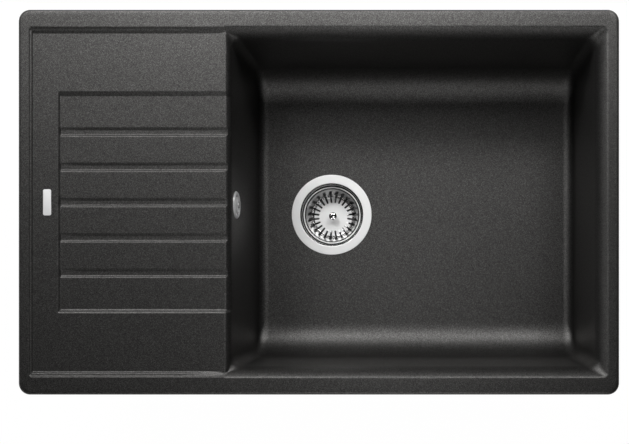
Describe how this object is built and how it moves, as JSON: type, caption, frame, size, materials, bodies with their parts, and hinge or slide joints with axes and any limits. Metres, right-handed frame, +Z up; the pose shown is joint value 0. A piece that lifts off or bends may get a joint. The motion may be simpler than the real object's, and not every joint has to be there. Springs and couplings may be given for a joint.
{
  "type": "inset kitchen sink",
  "caption": "Moulded inset kitchen sink with a ribbed drainer, deep bowl, lift-out basket strainer, overflow and turning worktop claws.",
  "frame": {"origin": "centre of the worktop cut-out, on the worktop's top surface, which is also the underside of the rim", "axes": "+X from the drainer to the bowl, +Y to the back, +Z up"},
  "size_m": [0.78, 0.5, 0.2925],
  "materials": {
    "basin": "matt moulded granite composite with a fine grain",
    "badge_plate": "satin, bare",
    "rim_seal": "matt",
    "drain_flange": "satin",
    "flange_gasket": "matt",
    "waste_body": "moulded, matt",
    "waste_tail": "moulded, matt",
    "waste_gasket": "matt",
    "clamp_screw": "satin",
    "overflow_rosette": "polished",
    "overflow_screw": "satin",
    "overflow_gasket": "matt",
    "overflow_elbow": "moulded, matt",
    "overflow_hose": "ribbed, matt",
    "hose_clips": "satin",
    "fixing_screws": "satin",
    "claw_washers": "moulded, matt",
    "basket": "satin",
    "basket_seal": "matt",
    "basket_knob": "polished",
    "basket_spindle": "satin",
    "claw_front_left": "satin",
    "claw_front_mid": "satin",
    "claw_front_right": "satin",
    "claw_back_left": "satin",
    "claw_back_mid": "satin",
    "claw_back_right": "satin"
  },
  "bodies": {
    "sink": {"basin": "basin", "badge_plate": "badge_plate", "rim_seal": "rim_seal", "drain_flange": "drain_flange", "flange_gasket": "flange_gasket", "waste_body": "waste_body", "waste_tail": "waste_tail", "waste_gasket": "waste_gasket", "clamp_screw": "clamp_screw", "overflow_rosette": "overflow_rosette", "overflow_screw": "overflow_screw", "overflow_gasket": "overflow_gasket", "overflow_elbow": "overflow_elbow", "overflow_hose": "overflow_hose", "hose_clips": "hose_clips", "fixing_screws": "fixing_screws", "claw_washers": "claw_washers"},
    "strainer": {"basket": "basket", "basket_seal": "basket_seal", "basket_knob": "basket_knob", "basket_spindle": "basket_spindle"},
    "claw_front_left": {"claw_front_left": "claw_front_left"},
    "claw_front_mid": {"claw_front_mid": "claw_front_mid"},
    "claw_front_right": {"claw_front_right": "claw_front_right"},
    "claw_back_left": {"claw_back_left": "claw_back_left"},
    "claw_back_mid": {"claw_back_mid": "claw_back_mid"},
    "claw_back_right": {"claw_back_right": "claw_back_right"}
  },
  "joints": [
    {"name": "strainer_lift", "type": "slide", "parent": "sink", "child": "strainer", "axis": [0, 0, 1], "range_m": [0, 0.25]},
    {"name": "claw_front_left_turn", "type": "hinge", "parent": "sink", "child": "claw_front_left", "pos_m": [-0.3, -0.23, -0.042], "axis": [0, 0, 1], "range_deg": [-90, 90]},
    {"name": "claw_front_mid_turn", "type": "hinge", "parent": "sink", "child": "claw_front_mid", "pos_m": [-0.02, -0.23, -0.042], "axis": [0, 0, 1], "range_deg": [-90, 90]},
    {"name": "claw_front_right_turn", "type": "hinge", "parent": "sink", "child": "claw_front_right", "pos_m": [0.26, -0.23, -0.042], "axis": [0, 0, 1], "range_deg": [-90, 90]},
    {"name": "claw_back_left_turn", "type": "hinge", "parent": "sink", "child": "claw_back_left", "pos_m": [-0.3, 0.23, -0.042], "axis": [0, 0, 1], "range_deg": [-90, 90]},
    {"name": "claw_back_mid_turn", "type": "hinge", "parent": "sink", "child": "claw_back_mid", "pos_m": [-0.02, 0.23, -0.042], "axis": [0, 0, 1], "range_deg": [-90, 90]},
    {"name": "claw_back_right_turn", "type": "hinge", "parent": "sink", "child": "claw_back_right", "pos_m": [0.26, 0.23, -0.042], "axis": [0, 0, 1], "range_deg": [-90, 90]}
  ]
}
